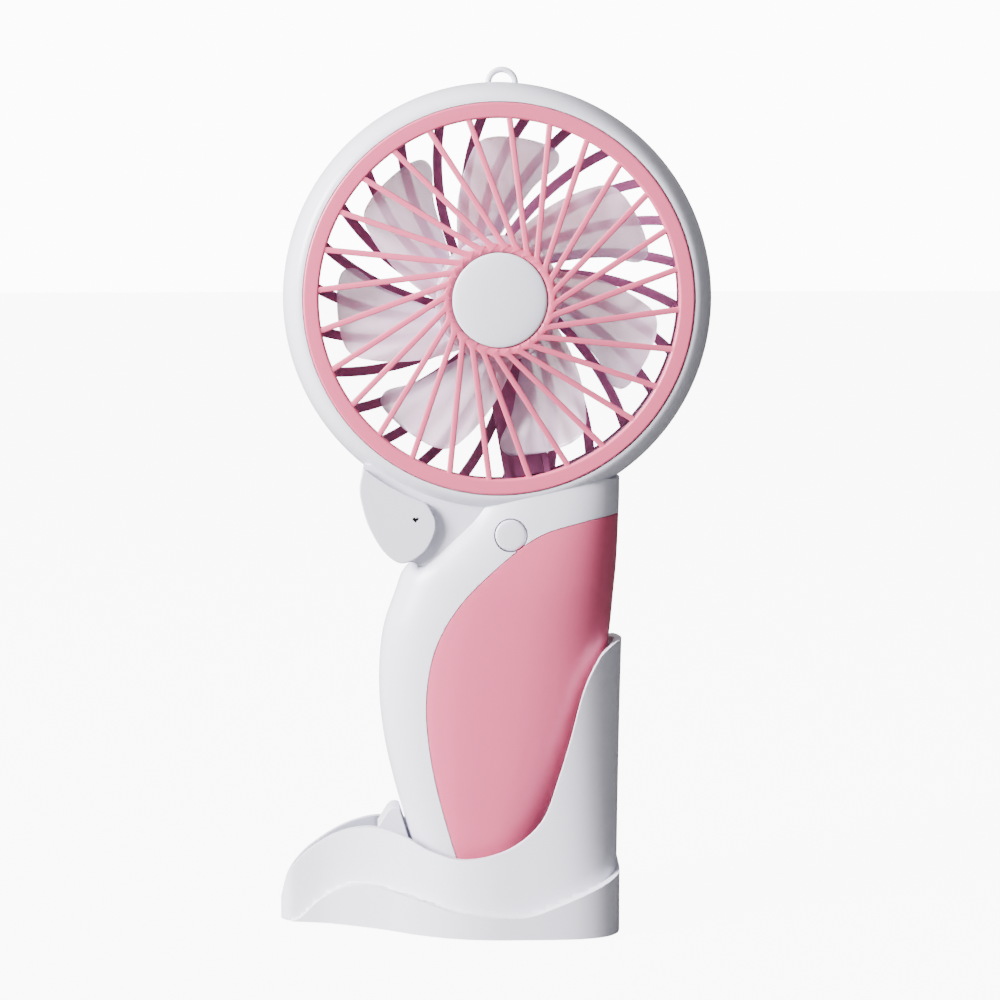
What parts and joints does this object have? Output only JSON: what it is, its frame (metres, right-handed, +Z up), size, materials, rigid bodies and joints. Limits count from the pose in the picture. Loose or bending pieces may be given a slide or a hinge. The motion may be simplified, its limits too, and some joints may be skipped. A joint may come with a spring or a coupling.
{
  "type": "handheld electric fan",
  "caption": "Handheld electric fan with a round grilled head, a curved handle with side panels, a push button and a free-standing dock.",
  "frame": {"origin": "on the floor under the middle of the object's box, with the fan's parting plane at y = 0", "axes": "+Z up, the fan blows towards -Y, and the tall side of the dock is at +X"},
  "size_m": [0.1036, 0.0492, 0.2051],
  "materials": {
    "white_plastic": "satin moulded",
    "dock_white_plastic": "satin moulded",
    "pink_plastic": "satin moulded",
    "blade_plastic": "translucent white",
    "clear_plastic": "clear moulded",
    "steel": "plated",
    "zinc_screw": "zinc plated",
    "ballast_steel": "mill",
    "black_plastic": "matt",
    "bronze": "sintered",
    "magnet": "sintered ferrite",
    "lamination": "stamped",
    "copper": "enamelled",
    "carbon": "graphite",
    "red_lead": "insulated",
    "black_lead": "insulated",
    "board_green": "solder mask",
    "ceramic": "ceramic",
    "led": "diffused",
    "cell_can": "nickel plated",
    "cell_sleeve": "shrink film",
    "nickel": "strip",
    "foam": "foam",
    "foot_rubber": "matt"
  },
  "bodies": {
    "dock": {"dock_shell": "dock_white_plastic", "dock_base": "dock_white_plastic", "ballast_plate": "ballast_steel", "dock_screws": "zinc_screw", "dock_feet": "foot_rubber"},
    "fan": {"front_shell": "white_plastic", "rear_shell": "white_plastic", "front_panel": "pink_plastic", "rear_panel": "pink_plastic", "cheek_cover": "white_plastic", "light_guide": "clear_plastic", "lanyard_loop": "white_plastic", "front_grille": "pink_plastic", "hub_cap": "white_plastic", "rear_grille": "pink_plastic", "motor_can": "steel", "motor_end_cap": "black_plastic", "front_bush": "bronze", "rear_bush": "bronze", "motor_magnets": "magnet", "motor_brushes": "carbon", "motor_terminals": "copper", "motor_screws": "zinc_screw", "motor_lead_red": "red_lead", "motor_lead_black": "black_lead", "switch_body": "black_plastic", "circuit_board": "board_green", "control_chips": "black_plastic", "board_capacitors": "ceramic", "indicator_led": "led", "charging_port": "steel", "charging_port_tongue": "black_plastic", "board_screws": "zinc_screw", "battery_cell": "cell_can", "battery_sleeve": "cell_sleeve", "battery_cap": "steel", "battery_tab_top": "nickel", "battery_tab_bottom": "nickel", "battery_lead_red": "red_lead", "battery_lead_black": "black_lead", "battery_pads": "foam", "shell_screws": "zinc_screw"},
    "impeller": {"impeller": "blade_plastic", "motor_shaft": "steel", "armature_core": "lamination", "armature_windings": "copper", "commutator": "copper"},
    "button": {"power_button": "white_plastic", "switch_plunger": "black_plastic"}
  },
  "joints": [
    {"name": "fan_lift", "type": "slide", "parent": "dock", "child": "fan", "axis": [0, 0, 1], "range_m": [0, 0.075]},
    {"name": "impeller_spin", "type": "hinge", "parent": "fan", "child": "impeller", "pos_m": [0, 0, 0.1505], "axis": [0, 1, 0], "continuous": true},
    {"name": "power_button_press", "type": "slide", "parent": "fan", "child": "button", "axis": [0, 1, 0], "range_m": [0, 0.0005], "stiffness_N_per_m": 600, "springref_m": -0.0008}
  ]
}
